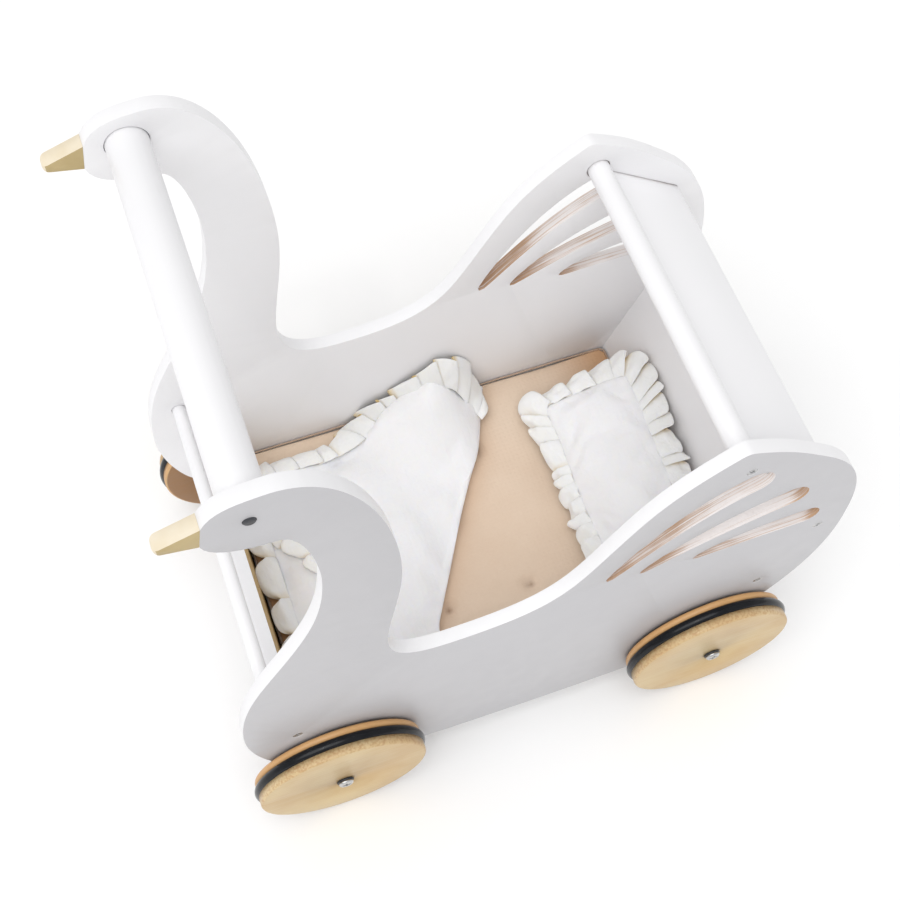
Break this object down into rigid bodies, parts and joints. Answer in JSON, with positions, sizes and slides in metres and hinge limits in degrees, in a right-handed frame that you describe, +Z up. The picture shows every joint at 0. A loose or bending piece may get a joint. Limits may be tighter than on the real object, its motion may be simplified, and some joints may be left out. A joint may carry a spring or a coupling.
{
  "type": "doll pram",
  "caption": "Wooden doll pram with swan-shaped side panels, a round push handle between the heads, solid wheels with rubber rings, and a frilled pillow and blanket on a mattress.",
  "frame": {"origin": "on the floor, at the middle of the pram's length and width", "axes": "+X from the swans' beaks to their tails, +Y from the near side panel to the far one, +Z up"},
  "size_m": [0.4572, 0.3118, 0.5259],
  "materials": {
    "white_paint": "satin",
    "plain_wood": "satin",
    "cream_wood": "satin",
    "steel": "satin",
    "black_rubber": "satin",
    "black_plastic": "matte",
    "peach_cotton": "matte",
    "cream_cotton": "matte"
  },
  "bodies": {
    "frame": {"near_side_panel": "white_paint", "far_side_panel": "white_paint", "near_beak": "cream_wood", "far_beak": "cream_wood", "beak_pegs": "plain_wood", "handle_rail": "white_paint", "handle_screws": "steel", "eye_caps": "black_plastic", "tail_rail": "white_paint", "breast_rail": "white_paint", "top_board": "white_paint", "tail_board": "white_paint", "head_board": "white_paint", "floor_board": "white_paint", "near_panel_screws": "steel", "far_panel_screws": "steel", "axle_bolts": "steel", "axle_washers": "black_plastic", "axle_spacers": "black_plastic", "inner_washers": "steel", "axle_nuts": "steel"},
    "near_head_wheel": {"near_head_wheel": "plain_wood", "near_head_tyre": "black_rubber"},
    "near_tail_wheel": {"near_tail_wheel": "plain_wood", "near_tail_tyre": "black_rubber"},
    "far_head_wheel": {"far_head_wheel": "plain_wood", "far_head_tyre": "black_rubber"},
    "far_tail_wheel": {"far_tail_wheel": "plain_wood", "far_tail_tyre": "black_rubber"},
    "mattress": {"mattress": "peach_cotton"},
    "blanket": {"blanket": "cream_cotton"},
    "pillow": {"pillow": "cream_cotton"}
  },
  "joints": [
    {"name": "near_head_wheel_spin", "type": "hinge", "parent": "frame", "child": "near_head_wheel", "pos_m": [-0.1585, -0.142, 0.0675], "axis": [0, 1, 0], "continuous": true},
    {"name": "near_tail_wheel_spin", "type": "hinge", "parent": "frame", "child": "near_tail_wheel", "pos_m": [0.1455, -0.142, 0.0675], "axis": [0, 1, 0], "continuous": true},
    {"name": "far_head_wheel_spin", "type": "hinge", "parent": "frame", "child": "far_head_wheel", "pos_m": [-0.1585, 0.142, 0.0675], "axis": [0, 1, 0], "continuous": true},
    {"name": "far_tail_wheel_spin", "type": "hinge", "parent": "frame", "child": "far_tail_wheel", "pos_m": [0.1455, 0.142, 0.0675], "axis": [0, 1, 0], "continuous": true},
    {"name": "mattress_lift", "type": "slide", "parent": "frame", "child": "mattress", "axis": [0, 0, 1], "range_m": [0, 0.07]},
    {"name": "blanket_lift", "type": "slide", "parent": "mattress", "child": "blanket", "axis": [0.0599, 0, 0.9982], "range_m": [0, 0.44]},
    {"name": "pillow_lift", "type": "slide", "parent": "mattress", "child": "pillow", "axis": [-0.4104, 0, 0.9119], "range_m": [0, 0.54]}
  ]
}
